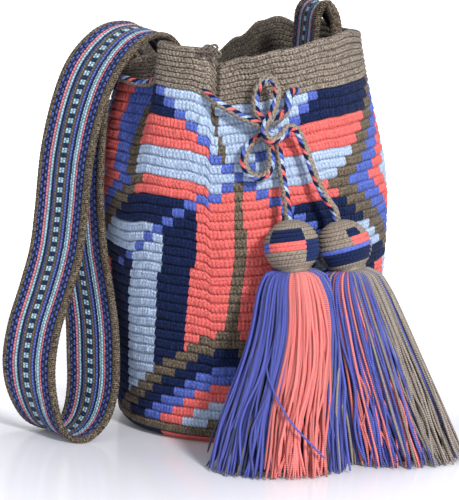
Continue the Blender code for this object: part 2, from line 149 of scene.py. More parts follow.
# Across the strap from 0 to 1: where stripes start, the ladder, and rows of dots as (start, shift along)
STRAP_STRIPES = ((0.0, "navy"), (0.212, "pink"), (0.248, "aqua"), (0.303, "navy"), (0.339, "periwinkle"),
                 (0.362, "brown"), (0.412, "deep_blue"), (0.504, "brown"), (0.554, "periwinkle"),
                 (0.59, "navy"), (0.636, "aqua"), (0.697, "pink"), (0.727, "navy"))
LADDER = (0.412, 0.504)
STRAP_DOTS = ((0.09, 0.0), (0.15, 0.5), (0.733, 0.0), (0.793, 0.5))
DOT_WIDTH = 0.058
SEWN_END = 0.085  # length at its right end over which the edge is thick
RISING = (-0.0175, 0.0575, 0)
HANGING = (-0.048, 0.036, 0)
STRAP = (
    ((0.0765, -0.044, 0.3165), (0.012, 0.0588, 0)), ((0.0765, -0.04, 0.338), (0.004, 0.0599, 0)),
    ((0.0765, -0.033, 0.3565), (-0.008, 0.0595, 0)), ((0.0705, -0.026, 0.3672), (-0.015, 0.0583, 0)),
    ((0.0635, -0.02, 0.359), RISING), ((0.0608, -0.018, 0.338), RISING),
    ((0.0575, -0.018, 0.312), RISING), ((0.043, -0.018, 0.288), (-0.018, 0.057, 0)),
    ((0.018, -0.02, 0.273), (-0.016, 0.058, 0)), ((-0.01, -0.022, 0.273), (-0.018, 0.057, 0)),
    ((-0.034, -0.024, 0.29), (-0.022, 0.056, 0)), ((-0.048, -0.026, 0.316), (-0.028, 0.053, 0.002)),
    ((-0.063, -0.031, 0.3385), (-0.034, 0.049, 0.006)), ((-0.078, -0.04, 0.341), (-0.04, 0.044, 0.008)),
    ((-0.0925, -0.047, 0.332), (-0.044, 0.04, 0.009)),
    ((-0.108, -0.053, 0.311), (-0.0475, 0.036, 0.008)),
    ((-0.1205, -0.06, 0.282), (-0.048, 0.036, 0.004)), ((-0.1305, -0.065, 0.24), (-0.048, 0.036, 0.002)),
    ((-0.1363, -0.07, 0.189), HANGING), ((-0.1405, -0.075, 0.158), HANGING),
    ((-0.149, -0.081, 0.127), HANGING), ((-0.1595, -0.089, 0.093), HANGING),
    ((-0.164, -0.094, 0.062), HANGING), ((-0.162, -0.099, 0.035), (-0.046, 0.0385, 0)),
    ((-0.1555, -0.105, 0.012), (-0.04, 0.0447, 0)), ((-0.1425, -0.108, 0.0026), (-0.034, 0.0494, 0)),
    ((-0.129, -0.104, 0.0065), (-0.036, 0.048, 0)), ((-0.1174, -0.095, 0.019), (-0.042, 0.043, 0)),
    ((-0.111, -0.085, 0.039), (-0.046, 0.0385, 0)), ((-0.1096, -0.075, 0.062), HANGING),
    ((-0.111, -0.065, 0.093), HANGING), ((-0.1155, -0.057, 0.125), HANGING),
    ((-0.121, -0.051, 0.16), HANGING), ((-0.1235, -0.046, 0.2), (-0.047, 0.0373, 0)),
    ((-0.1225, -0.042, 0.243), (-0.042, 0.0428, 0)), ((-0.1195, -0.036, 0.285), (-0.026, 0.0541, 0)),
    ((-0.115, -0.031, 0.319), (-0.009, 0.0593, 0)), ((-0.1045, -0.029, 0.329), (-0.004, 0.0598, 0)),
    ((-0.093, -0.029, 0.3215), (-0.001, 0.0599, 0)), ((-0.0905, -0.029, 0.297), (0.0, 0.06, 0)),
)

# Drawstring: its way from the left cap to the right one
CORD_RADIUS = 0.0033
EYELET_LIFT = 0.0036
CORD_PLAIT = 0.0042
CORD_COLOURS = 0.024  # length over which the colours repeat
# Where the cord lies, measured outwards from the middle of the wall
OUTSIDE, INSIDE, THROUGH, IN_FRONT = 0.0072, -0.0078, -0.002, 0.0065
LEFT_TAIL = ((0.0316, -0.1365, 0.219), (0.0298, -0.1315, 0.229), (0.028, -0.1275, 0.24),
             (0.0262, -0.125, 0.253), (0.0235, -0.1235, 0.264))
LOWER_LOOP = ((0.016, -0.1225, 0.269), (0.008, -0.1235, 0.2655), (0.0, -0.1275, 0.259),
              (-0.003, -0.13, 0.248), (0.001, -0.1315, 0.2385), (0.009, -0.1325, 0.235),
              (0.017, -0.1325, 0.239), (0.0195, -0.132, 0.249), (0.0185, -0.131, 0.26))
TO_LEFT_EYELET = ((0.016, -0.129, 0.271), (0.0095, -0.127, 0.2775), (-0.002, -0.1215, 0.282),
                  (-0.014, -0.119, 0.2885), (-0.025, -0.1185, 0.295))
# Round the rim by the eyelets, as (place, angles)
ROUND_THE_RIM = (
    (IN_FRONT, (-16,)), (THROUGH, (-19.5,)), (INSIDE, (-24, -33, -42, -50)), (THROUGH, (-55.5,)),
    (OUTSIDE, (-61, -70, -79, -88, -97, -106, -113)), (THROUGH, (-119,)), (INSIDE, (-125, -135, -145, -155)),
    (THROUGH, (-161,)), (OUTSIDE, (-167, -176, -185)), (THROUGH, (-191,)), (INSIDE, (-197, -206, -215)),
    (THROUGH, (-221,)), (OUTSIDE, (-227, -236, -245)), (THROUGH, (-251,)),
    (INSIDE, (-257, -266, -275, -284, -293, -302, -311, -320, -329, -334)), (THROUGH, (-338.5,)),
    (IN_FRONT, (-342.5,)),
)
FROM_RIGHT_EYELET = ((0.033, -0.1165, 0.29), (0.026, -0.1205, 0.282), (0.016, -0.1215, 0.279))
UPPER_LOOP = ((0.008, -0.1205, 0.286), (0.0065, -0.1195, 0.298), (0.01, -0.119, 0.31),
              (0.017, -0.12, 0.316), (0.0235, -0.1215, 0.31), (0.024, -0.1235, 0.298),
              (0.02, -0.128, 0.287), (0.015, -0.1345, 0.279))
RIGHT_TAIL = ((0.014, -0.1365, 0.2715), (0.0195, -0.137, 0.266), (0.027, -0.1355, 0.269),
              (0.033, -0.131, 0.2755), (0.04, -0.1265, 0.2735), (0.0455, -0.1245, 0.263),
              (0.051, -0.125, 0.248), (0.057, -0.126, 0.232), (0.0635, -0.1262, 0.219))

# Tassels: cap centre, direction up through the cap, foot centre, and the foot's half widths across and deep
TASSELS = {
    "left": ((0.0366, -0.144, 0.179), (-0.12, 0.16, 1.0), (0.026, -0.181), (0.055, 0.034)),
    "right": ((0.08, -0.129, 0.176), (-0.26, 0.1, 1.0), (0.127, -0.15), (0.051, 0.034)),
}
# Strands out of line: one that lies across the left tassel, and dark ones that stray from its foot
LOOSE_STRANDS = {
    "left": (
        ("periwinkle", (0.015, -0.176, 0.09), (0.018, -0.192, 0.076),
         (0.034, -0.208, 0.048), (0.062, -0.213, 0.018)),
        ("navy", (-0.008, -0.17, 0.06), (-0.019, -0.173, 0.033),
         (-0.027, -0.176, 0.012), (-0.034, -0.18, 0.0016)),
        ("brown", (-0.006, -0.178, 0.05), (-0.015, -0.185, 0.026),
         (-0.022, -0.19, 0.01), (-0.0275, -0.193, 0.0016)),
        ("navy", (-0.01, -0.164, 0.064), (-0.021, -0.164, 0.042),
         (-0.029, -0.164, 0.023), (-0.033, -0.164, 0.009)),
        ("brown", (0.004, -0.19, 0.048), (-0.002, -0.2, 0.028),
         (-0.006, -0.206, 0.012), (-0.009, -0.21, 0.0016)),
        ("brown", (-0.002, -0.185, 0.052), (-0.009, -0.1945, 0.029),
         (-0.014, -0.2, 0.013), (-0.019, -0.203, 0.0016)),
    ),
}
CAP_RADIUS = 0.0225
# Yarns of a cap, as (yarn, from and to so many degrees down from its top, and so many from its front)
CAP_PATCHES = {
    "left": (("navy", 54, 77, -58, 30), ("coral", 77, 100, -58, 30), ("deep_blue", 79, 124, 30, 110),
             ("periwinkle", 77, 100, -110, -58)),
    "right": (("navy", 54, 68, 14, 48), ("coral", 68, 88, 20, 75), ("periwinkle", 86, 102, -70, 75),
              ("navy", 102, 122, -60, 70)),
}
CAP_HOLE = 0.0042
CAP_NECK = 0.0128
CAP_STITCHES = 38
CAP_ROUNDS = 14
CORD_END = 0.0181  # from the cap's centre up to the cord's end
NECK_RADIUS = 0.0118
SKIRT_LAYERS = ((112, 1.0, 0.00112), (124, 0.9, 0.00108), (112, 0.77, 0.00108))  # strands, depth, radius
SKIRT_SEEDS = {"left": 11, "right": 23}
OUTER_LAYER = 0.95  # depth past which a strand is in the outer layer
CORE_DEPTHS = (0.62, 0.64)
LOOSE_RADIUS = 0.0009
STRAND_PITCH = 0.0026
NECK_DROP = 0.0205  # from the cap's centre to where the strands come out
DOME_RISE = 0.0035
SKIRTS_FACE = (0.9, 0.436, 0)  # square to the plane on which the two skirts meet
SKIRT_GAP = 0.0006  # from that plane


# Geometry helpers

def ease(t):
    t = np.clip(t, 0.0, 1.0)
    return t * t * (3 - 2 * t)


def bell(x):
    return np.exp(-(x ** 2))


def round_the_bag(stops, angle):
    """Height at each angle, eased from one of the stops to the next."""
    angle = np.mod(angle, 360.0)
    a = np.array([s[0] for s in stops] + [360.0 + stops[0][0]])
    h = np.array([s[1] for s in stops] + [stops[0][1]])
    i = np.clip(np.searchsorted(a, angle, side="right") - 1, 0, len(stops) - 1)
    return h[i] + (h[i + 1] - h[i]) * ease((angle - a[i]) / (a[i + 1] - a[i]))


def belly(height):
    """Outer radius of the unfolded body, the source's curve through BELLY."""
    h, r = (np.array(v) for v in zip(*BELLY))
    i = np.clip(np.searchsorted(h, height, side="right"), 1, len(h) - 2)
    a, b, c = h[i - 1], h[i], h[i + 1]
    return (r[i - 1] * (height - b) * (height - c) / ((a - b) * (a - c))
            + r[i] * (height - a) * (height - c) / ((b - a) * (b - c))
            + r[i + 1] * (height - a) * (height - b) / ((c - a) * (c - b)))


def wall_radius(angle, height):
    radius = belly(height)
    for centre, depth, half, lowest in FOLDS:
        off = np.mod(angle - centre + 180, 360) - 180
        radius = radius + depth * ease((height - lowest) / (FOLDS_FULL - lowest)) * bell(off / half)
    return radius


def around(angle, radius, height):
    """Points at angles in degrees from the front, as an array with x, y, z last."""
    a = np.radians(angle)
    return np.stack(np.broadcast_arrays(radius * np.sin(a), -radius * np.cos(a), height), axis=-1)


def curve_through(stops, parts):
    """A smooth curve through the stops, with a number of parts between two of them."""
    stops = np.array([tuple(s) for s in stops], float)
    ends = np.vstack([2 * stops[0] - stops[1], stops, 2 * stops[-1] - stops[-2]])
    line = []
    for a, b, c, d in zip(ends, ends[1:], ends[2:], ends[3:]):
        for n in range(parts):
            t = n / parts
            line.append(0.5 * (2 * b + (c - a) * t + (2 * a - 5 * b + 4 * c - d) * t * t
                               + (3 * b - a - 3 * c + d) * t ** 3))
    return np.array(line + [stops[-1]])


def walked(line):
    return np.concatenate([[0], np.cumsum(np.linalg.norm(np.diff(line, axis=0), axis=1))])


def resampled(values, far, at):
    return np.stack([np.interp(at, far, values[:, k]) for k in range(3)], axis=1)


def evenly(line, step):
    """The line again with points a step apart."""
    far = walked(line)
    at = np.linspace(0, far[-1], max(2, int(round(far[-1] / step)) + 1))
    return resampled(line, far, at)


def full_turn(count):
    return np.arange(count) * 2 * math.pi / count


def unit(v):
    return v / np.maximum(np.linalg.norm(v, axis=-1, keepdims=True), 1e-12)


def grid_uv(u, v):
    """Places in the yarn at each u along a row and each v down the rows."""
    return np.stack(np.broadcast_arrays(np.asarray(u)[None, :], np.asarray(v)[:, None]), axis=-1)


def faces_over(rows, cols, uv):
    """Faces over closed rows of points, and the uv of their corners."""
    r, c = np.meshgrid(np.arange(rows - 1), np.arange(cols), indexing="ij")
    nxt = (c + 1) % cols
    quads = np.stack([r * cols + c, r * cols + nxt, (r + 1) * cols + nxt, (r + 1) * cols + c], axis=-1)
    corner_uv = np.stack([uv[r, c], uv[r, c + 1], uv[r + 1, c + 1], uv[r + 1, c]], axis=2)
    return quads.reshape(-1, 4), corner_uv.reshape(-1, 4, 2)


def tube(line, side, up, turn, wide, thick):
    """Rings of points round a line; wide is the ring's half width along side, thick the one along up."""
    return (line[:, None] + side[:, None] * (wide * np.cos(turn))[..., None]
            + up[:, None] * (thick * np.sin(turn))[..., None])


def add_grid(name, points, uv, materials, pick=None, flip=False):
    """A mesh over closed rows of points. uv is given for one more column than points."""
    quads, corner_uv = faces_over(*points.shape[:2], uv)
    if flip:
        quads, corner_uv = quads[:, ::-1], corner_uv[:, ::-1]
    pick = None if pick is None else pick.reshape(-1)
    return build(name, points.reshape(-1, 3), quads, corner_uv, materials, pick)


def build(name, points, quads, corner_uv, materials, pick):
    mesh = bpy.data.meshes.new(name)
    mesh.vertices.add(len(points))
    mesh.vertices.foreach_set("co", points.astype(np.float32).ravel())
    mesh.loops.add(quads.size)
    mesh.loops.foreach_set("vertex_index", quads.astype(np.int32).ravel())
    mesh.polygons.add(len(quads))
    mesh.polygons.foreach_set("loop_start", np.arange(0, quads.size, 4, dtype=np.int32))
    layer = mesh.uv_layers.new(name="yarn")
    mesh.update(calc_edges=True)
    layer.data.foreach_set("uv", corner_uv.astype(np.float32).ravel())
    for material in materials:
        mesh.materials.append(material)
    if pick is not None:
        mesh.polygons.foreach_set("material_index", pick.astype(np.int32))
    mesh.shade_smooth()
    piece = bpy.data.objects.new(name, mesh)
    bpy.context.collection.objects.link(piece)
    return piece


def place(piece, node):
    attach(piece, "root")
    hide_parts(node)


# Materials

def linear(colour):
    return tuple(((c / 255 + 0.055) / 1.055) ** 2.4 if c > 10 else c / 255 / 12.92 for c in colour)


def yarn_rgb(yarn):
    return linear(YARNS[yarn][0])


class Nodes:
    """Short forms for building one material's node tree."""

    def __init__(self, name):
        self.material = bpy.data.materials.new(name)
        self.material.use_nodes = True
        self.tree = self.material.node_tree
        self.shader = self.tree.nodes["Principled BSDF"]

    def add(self, kind, inputs=None, **values):
        """A node; its inputs are values or links, by number or name."""
        node = self.tree.nodes.new(kind)
        for key, value in values.items():
            setattr(node, key, value)
        self.feed(node, inputs or {})
        return node

    def feed(self, node, inputs):
        for key, value in inputs.items():
            if isinstance(value, (int, float, tuple)):
                node.inputs[key].default_value = value
            elif value is not None:
                self.tree.links.new(value, node.inputs[key])

    def math(self, operation, a, b=0.0):
        return self.add("ShaderNodeMath", {0: a, 1: b}, operation=operation).outputs[0]

    def times(self, a, b):
        return self.math("MULTIPLY", a, b)

    def power(self, a, b):
        return self.math("POWER", a, b)

    def within(self, value, low, high):
        """The value, held between low and high."""
        return self.math("MINIMUM", self.math("MAXIMUM", value, low), high)

    def total(self, *parts):
        """Sum of parts, each a value or (value, factor)."""
        result = 0.0
        for part in parts:
            value = self.times(*part) if isinstance(part, tuple) else part
            result = value if result == 0.0 else self.math("ADD", result, value)
        return result

    def wave(self, *parts):
        """A rounded ridge from 0 to 1, once for every step of one in the sum of the parts."""
        return self.math("ABSOLUTE", self.math("SINE", self.times(self.total(*parts), math.pi)))

    def between(self, value, low, high):
        return self.times(self.math("GREATER_THAN", value, low), self.math("LESS_THAN", value, high))

    def uv(self):
        mapped = self.add("ShaderNodeUVMap", uv_map="yarn")
        split = self.add("ShaderNodeSeparateXYZ", {0: mapped.outputs[0]})
        return split.outputs[0], split.outputs[1]

    def noise(self, scale, detail):
        where = self.add("ShaderNodeTexCoord").outputs["Object"]
        inputs = {"Scale": scale, "Detail": detail, "Vector": where}
        return self.add("ShaderNodeTexNoise", inputs).outputs["Fac"]

    def by_stitch(self, u, v):
        """One random number for each whole step of u and v."""
        pair = self.add("ShaderNodeCombineXYZ", {0: self.math("FLOOR", u), 1: self.math("FLOOR", v)})
        inputs = {"Vector": pair.outputs[0]}
        return self.add("ShaderNodeTexWhiteNoise", inputs, noise_dimensions="2D").outputs["Value"]

    def mix(self, factor, a, b):
        a, b = ((*value, 1) if isinstance(value, tuple) else value for value in (a, b))
        return self.add("ShaderNodeMix", {0: factor, 6: a, 7: b}, data_type="RGBA").outputs[2]

    def bands(self, factor, stops):
        """Plain bands of colour along a factor, given as (start, yarn)."""
        node = self.add("ShaderNodeValToRGB", {0: factor})
        ramp = node.color_ramp
        ramp.interpolation = "CONSTANT"
        for k, (start, yarn) in enumerate(stops):
            element = ramp.elements[k] if k < 2 else ramp.elements.new(start)
            element.position = start
            element.color = (*yarn_rgb(yarn), 1)
        return node.outputs[0]

    def scaled(self, colour, factor):
        inputs = {0: colour, "Scale": factor}
        return self.add("ShaderNodeVectorMath", inputs, operation="SCALE").outputs[0]

    def bump(self, height, distance, strength, under=None):
        """The relief of a height, over the one under it."""
        inputs = {"Strength": strength, "Distance": distance, "Height": height, "Normal": under}
        return self.add("ShaderNodeBump", inputs).outputs[0]

    def finish(self, colour, height, distance, fleck, roughness=0.9, specular=0.15, sheen=0.06):
        """Colour flecked by its fibres, the yarn's relief and a soft sheen."""
        fibre = self.noise(FIBRES, 3)
        patch = self.noise(PATCHES, 2)
        shade = self.total(0.94 - 2.0 * fleck, (fibre, 4.0 * fleck), (patch, 0.12))
        shade = self.math("MAXIMUM", shade, DARKEST)
        relief = self.bump(height, distance, 1.0, self.bump(fibre, FUZZ, 0.6))
        self.feed(self.shader, {
            "Base Color": self.scaled(colour, shade), "Normal": relief, "Roughness": roughness,
            "Specular IOR Level": specular, "Sheen Weight": sheen, "Sheen Roughness": 0.4,
        })
        return self.material


def crochet(yarn, shade=1.0, fleck=None):
    """Crochet along stitches (u) and rows (v): a thread along each row's top over upright posts, with a
    painted highlight on the thread and painted shade in the grooves, the gaps between posts and just under
    the thread.
    """
    n = Nodes(f"crochet_{yarn}")
    u, v = n.uv()
    posts = n.wave(u, (v, 0.6))
    down = n.math("FRACT", n.total((v, 1.0), (posts, 0.12), -0.06))
    thread = n.between(down, 0.08, 0.3)
    below = n.math("GREATER_THAN", down, 0.3)
    loops = n.wave(u, (v, 2.5))
    plies = n.wave((u, 3.0), (v, 5.0))
    height = n.total((n.power(loops, 0.6), thread), (n.power(posts, 0.5), n.times(below, 0.8)), (plies, 0.25))
    # Masks of painted shade: the gaps between the posts, the grooves between rows, and the band just under
    # the thread.
    gap_shade = n.times(n.power(n.math("SUBTRACT", 1.0, posts), 2.0), below)
    edge = n.math("MINIMUM", down, n.math("SUBTRACT", 1.0, down))
    groove_shade = n.math("SUBTRACT", 1.0, n.math("MINIMUM", n.times(edge, 7.0), 1.0))
    under = n.between(down, 0.3, 0.4)
    worked = n.by_stitch(u, v)
    small = n.by_stitch(n.times(u, 2.0), n.times(v, 4.0))
    fleck = fleck or YARNS[yarn][1]
    # deep is how dark the painted shade in the grooves, gaps and under the thread is drawn; the thread's
    # loops get a painted highlight; worked and small give each stitch a random tone.
    deep = 0.45 + 0.75 * YARNS[yarn][1]
    light = n.total(1.02 - 0.2 * fleck, (worked, 0.12), (small, 0.4 * fleck), (groove_shade, -0.45 * deep),
                    (gap_shade, -0.42 * deep), (under, -0.18 * deep), (n.times(thread, loops), 0.24))
    colour = n.scaled(yarn_rgb(yarn), n.times(n.math("MAXIMUM", light, 0.08), shade))
    return n.finish(colour, height, 0.0009, fleck)


def strap_cloth():
    """Warp-faced weave: beads of yarn in stripes across (u from 0 to 1), a ladder and dots along it (v)."""
    n = Nodes("strap_weave")
    u, v = n.uv()
    warps = n.times(u, float(WARPS))
    row = n.math("FLOOR", warps)
    ragged = n.total((n.by_stitch(n.times(v, 6.0), 0.0), 0.008), (u, 1.0), -0.004)
    stripes = n.bands(ragged, STRAP_STRIPES)
    ladder = n.math("LESS_THAN", n.math("FRACT", v), 0.5)
    colour = n.mix(n.times(n.between(u, *LADDER), ladder), stripes, yarn_rgb("aqua"))
    for low, shift in STRAP_DOTS:
        over = n.math("SINE", n.total((u, math.pi / DOT_WIDTH), -low * math.pi / DOT_WIDTH))
        dot = n.times(n.times(over, n.between(u, low, low + DOT_WIDTH)), n.wave((v, 1.4), shift))
        colour = n.mix(n.math("GREATER_THAN", dot, 0.5), colour, yarn_rgb("periwinkle"))
    warp = n.wave((u, float(WARPS)))
    bead = n.wave((v, 3.0), (row, 0.5))
    height = n.times(n.power(warp, 0.6), n.total(0.25, (n.power(bead, 0.6), 0.75)))
    one = n.by_stitch(warps, n.total((v, 3.0), (row, 0.5)))
    # Painted shade: each warp and bead is drawn darker towards its edges, with a random tone for each bead.
    colour = n.scaled(colour, n.total(0.14, (height, 0.98), (one, 0.3)))
    return n.finish(colour, height, 0.0013, fleck=0.3, roughness=0.7, specular=0.3)


def rope(name, yarn, ridges, turns, deep, gloss_and_painted_glint=False, fleck=None, shade=1.0):
    """Plied yarn: ridges slanting round (u from 0 to 1) and along (v) the piece, drawn darker in the valleys
    between the plies as painted shade; glossy strands also get a painted glint.
    """
    n = Nodes(name)
    u, v = n.uv()
    slant = n.wave((v, ridges), (u, turns))
    one = n.by_stitch(u, 0.0) if gloss_and_painted_glint else n.by_stitch(n.times(u, 4.0), n.times(v, 2.0))
    spread = 0.6 if gloss_and_painted_glint else 0.24
    # Painted shade: darker in the valleys between the plies, over a random tone for each strand or stitch.
    light = n.total(deep - 0.5 * spread, (n.power(slant, 0.7), 1.15 - deep), (one, spread))
    colour = n.scaled(yarn_rgb(yarn), n.times(light, shade))
    # Painted glint: glossy strands get a light tint on the crests of their plies.
    if gloss_and_painted_glint:
        colour = n.mix(n.times(n.power(slant, 4.0), 0.07), colour, PAINTED_GLINT_TINT)
    fleck = YARNS[yarn][1] * 0.3 if fleck is None else fleck
    if gloss_and_painted_glint:
        return n.finish(colour, slant, 0.0005, fleck, roughness=0.38, specular=0.7, sheen=0.15)
    return n.finish(colour, slant, 0.0006, fleck)


def braid():
    """Round braid (u round it, v along it): short slanting blocks of four yarns, and a taupe side."""
    n = Nodes("cord_braid")
    u, v = n.uv()
    spiral = n.math("FRACT", n.total((v, 1.0), (u, 0.9)))
    blocks = n.bands(spiral, ((0.0, "coral"), (0.2, "navy"), (0.4, "light_blue"), (0.58, "periwinkle"),
                              (0.8, "navy")))
    taupe_side = n.math("MAXIMUM", n.math("LESS_THAN", u, 0.265), n.math("GREATER_THAN", u, 0.72))
    colour = n.mix(taupe_side, blocks, yarn_rgb("taupe"))
    strand = n.wave((v, 5.0), (u, 4.0))
    cross = n.wave((v, 5.0), (u, -4.0))
    height = n.math("MAXIMUM", strand, n.times(cross, 0.8))
    one = n.by_stitch(n.times(u, 5.0), n.times(v, 10.0))
    # Painted shade: the braid is drawn darker between its strands, with a random tone for each block.
    colour = n.scaled(colour, n.total(0.3, (height, 0.62), (one, 0.3)))
    return n.finish(colour, height, 0.0008, fleck=0.5)


# The body

def yarn_at(row, turn, line):
    """Yarn at a row (0 is the pattern's top) and a turn of cells leftwards; the thin line runs at line."""
    s = abs(turn) if abs(turn) <= CELLS / 4 else CELLS / 2 - abs(turn)
    s /= 1 + 0.1 * min(1, max(0, (row - 16) / 6))
    # The rim is taupe; the last row is in the darker yarn, partly painted shade at the bag's foot.
    if row < 0 or row >= ROWS - 1:
        return "taupe" if row < 0 else "brown"
    rise = row - s - FOOT_ROW
    if rise >= 0:
        return FOOT_BANDS[min(5, int(rise // 2))]
    side = LEFT_BANDS if turn > 0 else RIGHT_BANDS
    away = abs(row - TIPS_ROW)
    inward = (turn if 0 < turn < LEFT_TIP_END - 0.4 * away else s) - side[0] - away
    if inward >= 0 and row < COLUMNS_ROW:
        return TIP_BANDS[sum(inward >= end for end in side[1:])]
    cell = int(s + 0.5)
    below = row - CROSSING_ROW
    if row < COLUMNS_ROW and cell == abs(below):
        return "periwinkle"
    if cell < -below:
        return "brown" if abs(turn - line) < 0.2 else "light_blue"
    if below >= 0 and (cell < below or row >= COLUMNS_ROW):
        if -0.4 - 0.2 * (row > 12) < turn < 0.4:
            return "brown"
        return next((yarn for edge, yarn in COLUMNS if s < edge), "light_blue")
    return next((yarn for last, yarn in BANDS if row <= last), "navy")


def along_rows(stops, row, k=1):
    return float(np.interp(row, [s[0] for s in stops], [s[k] for s in stops]))


def yarn_numbers(rows):
    """Yarn number at each of the rows and each stitch, counted leftwards from the front's centre."""
    table = np.zeros((len(rows), STITCHES), int)
    for i, row in enumerate(rows):
        first, hidden = along_rows(HIDDEN, row), along_rows(HIDDEN, row, 2)
        line = along_rows(LINE_LEAN, row)
        for stitch in range(STITCHES):
            left = (stitch + 0.5) / STITCHES_PER_CELL
            if first < left < CELLS / 2:
                left += hidden * min(1, (CELLS / 2 - left) / 14)
            turn = (left + CELLS / 2) % CELLS - CELLS / 2
            table[i, stitch] = WALL_YARNS.index(yarn_at(row, turn, line))
    return table


def stitch_angle(stitch, row):
    """Angle of a place so many stitches left of the front's centre at a row."""
    return along_rows(DRIFT, row) - stitch * 360 / STITCHES


def row_height(angle, row):
    """Height of a row's top at an angle; negative rows are the rim's, the last runs into the corner."""
    foot = round_the_bag(BAND_FOOT, angle)
    rim = round_the_bag(RIM_HEIGHT, angle)
    return foot + np.where(row < 0, (rim - foot) * -row / RIM_ROWS, (LAST_ROW_END - foot) * row / ROWS)


def outer_radius(angle, height):
    """The yarn's outside: the wall with its soft tucks, rounding in under the corner near the base."""
    turn = np.clip((CORNER - height) / CORNER, 0, 1)
    upright = wall_radius(angle, np.maximum(height, CORNER))
    for centre, depth, half, middle, high in TUCKS:
        off = np.mod(angle - centre + 180, 360) - 180
        upright = upright + depth * bell(off / half) * bell((height - middle) / high)
    return upright - (upright - BASE_RADIUS) * (1 - np.sqrt(np.clip(1 - turn ** 2, 0, 1)))


def make_rows(name, first, last, materials, seed):
    """Rows of crochet on the outside, each stitch a little out of place as worked by hand."""
    rng = np.random.default_rng(seed)
    across = len(STITCH_RELIEF)
    cols = STITCHES * across
    sections = [(row, *part) for row in range(first, last) for part in ROW_RELIEF]
    sections.append((last, *ROW_RELIEF[0]))
    push = rng.normal(0, STITCH_PUSH, (last - first + 1, STITCHES))
    shift = rng.normal(0, STITCH_SHIFT, (last - first + 1, STITCHES))
    stitch = np.arange(cols) / across
    points = []
    for row, share, relief in sections:
        at = stitch + np.repeat(shift[row - first], across) * (share > 0) + STITCH_SLANT * share
        angle = stitch_angle(at, row + share)
        wave = ROW_WAVE * (np.sin(stitch * 0.9 + row * 2.1) + np.sin(stitch * 0.23 + row))
        teeth = TOOTH * (stitch % 1 == 0) * (share == 0 or share > 0.7)
        height = row_height(angle, row + share) + (wave + teeth) * (0 < row + share < ROWS)
        bump = np.tile(STITCH_RELIEF, STITCHES) + np.repeat(push[row - first], across)
        points.append(around(angle, outer_radius(angle, height) + relief + bump * (share > 0), height))
    ticks = np.array([row + share for row, share, _ in sections])
    pick = np.repeat(np.repeat(yarn_numbers(range(first, last)), across, axis=1), len(ROW_RELIEF), axis=0)
    piece = add_grid(name, np.array(points), grid_uv(np.arange(cols + 1) / across, ticks), materials, pick)
    place(piece, "bag_body")


def make_rim_edge(material):
    """The chain of stitches worked along the rim."""
    angle = -np.arange(RIM_STEPS) * 360 / RIM_STEPS
    height = round_the_bag(RIM_HEIGHT, angle) - 0.0016
    line = around(angle, outer_radius(angle, height) - WALL * 0.4, height)
    line = np.vstack([line, line[:1]])
    up = np.tile((0.0, 0.0, 1.0), (len(line), 1))
    out = unit(line * (1, 1, 0))
    make_rope("rim_edge", line, 0.0023, 0.0022, material, up, out, 0.0038, "bag_body")


def make_inside(materials):
    """The inner face in the same yarns, with the rim's ridges, and the floor of the bag."""
    sections = [(row, share, relief) for row in range(-RIM_ROWS, ROWS)
                for share, relief in ((0.0, 0.0009), (0.3, -0.0004), (0.6, -0.0001), (0.85, -0.0004))]
    rows = np.array([row + share for row, share, _ in sections] + [ROWS])
    relief = np.array([r for _, _, r in sections] + [0])
    stitch = np.arange(STITCHES)
    rings = []
    tick = 0.0002 * np.where(stitch % 2, 1, -1)
    for row, depth in zip(rows, relief):
        angle = stitch_angle(stitch, row)
        height = np.maximum(row_height(angle, row), WALL)
        rings.append(around(angle, outer_radius(angle, height) - WALL + depth + tick, height))
    for share in (0.9, 0.75, 0.5, 0.25, 0.01):
        rings.append(around(angle, (outer_radius(angle, height) - WALL) * share, WALL))
    rows = np.concatenate([rows, ROWS + np.arange(1, 6) * 2.0])
    table = np.repeat(yarn_numbers(range(-RIM_ROWS, ROWS)), 4, axis=0)
    pick = np.concatenate([table, np.full((5, STITCHES), WALL_YARNS.index("navy"))])
    uv = grid_uv(np.arange(STITCHES + 1), rows)
    piece = add_grid("bag_inside", np.array(rings), uv, materials, pick, flip=True)
    place(piece, "bag_body")


def make_base(materials):
    """The underside: rounds of navy stitches with patches of coral, turned up to meet the last row."""
    stitch = np.arange(STITCHES)
    angle = stitch_angle(stitch, ROWS)
    rings, rounds = [], []
    for k, turn in enumerate(np.linspace(math.asin((CORNER - LAST_ROW_END) / CORNER), math.pi / 2, 7)):
        h = CORNER * (1 - math.sin(turn))
        relief = 0.0003 if k % 2 else -0.0004
        rings.append(around(angle, outer_radius(angle, np.full(STITCHES, h)) + relief, h))
        rounds.append(k / 2)
    steps = 26
    for k in range(1, steps + 1):
        share = 1 - k / (steps + 0.5)
        rings.append(around(angle, BASE_RADIUS * share, 0.0 if k % 2 else 0.0005))
        rounds.append(3 + k / 2)
    uv = grid_uv(np.arange(STITCHES + 1), rounds)
    patch = (stitch + 3) % 54 < 20
    ring = np.arange(len(rings) - 1)
    coral = patch[None, :] & (ring[:, None] % 16 < 9)
    pick = np.where(coral, WALL_YARNS.index("coral"), WALL_YARNS.index("navy"))
    piece = add_grid("bag_base", np.array(rings), uv, materials, pick)
    place(piece, "bag_body")


def make_tuft(material):
    """The ends of yarn left where the flap's edge was finished, in small loops."""
    rng = random.Random(5)
    foot = np.array((-0.0325, -0.111, 0.3345))
    for k in range(9):
        a = rng.uniform(-1.3, 1.3)
        reach = rng.uniform(0.003, 0.0065)
        side = np.array((math.sin(a), -0.35, math.cos(a))) * reach
        swing = np.array((math.cos(a), 0.1, -math.sin(a))) * reach * 0.5
        start = foot + np.array((rng.uniform(-0.004, 0.006), 0, rng.uniform(-0.002, 0.002)))
        line = evenly(curve_through([start, start + side * 0.7 + swing, start + side * 1.1,
                                     start + side * 0.6 - swing, start + swing * 0.2], 6), 0.0009)
        up = np.tile((0.1, -0.9, 0.3), (len(line), 1))
        across = np.cross(unit(np.gradient(line, axis=0)), up)
        make_rope(f"tuft_{k}", line, 0.0011, 0.0011, material, unit(up), unit(across), 0.0024,
                  "bag_body")


# The strap

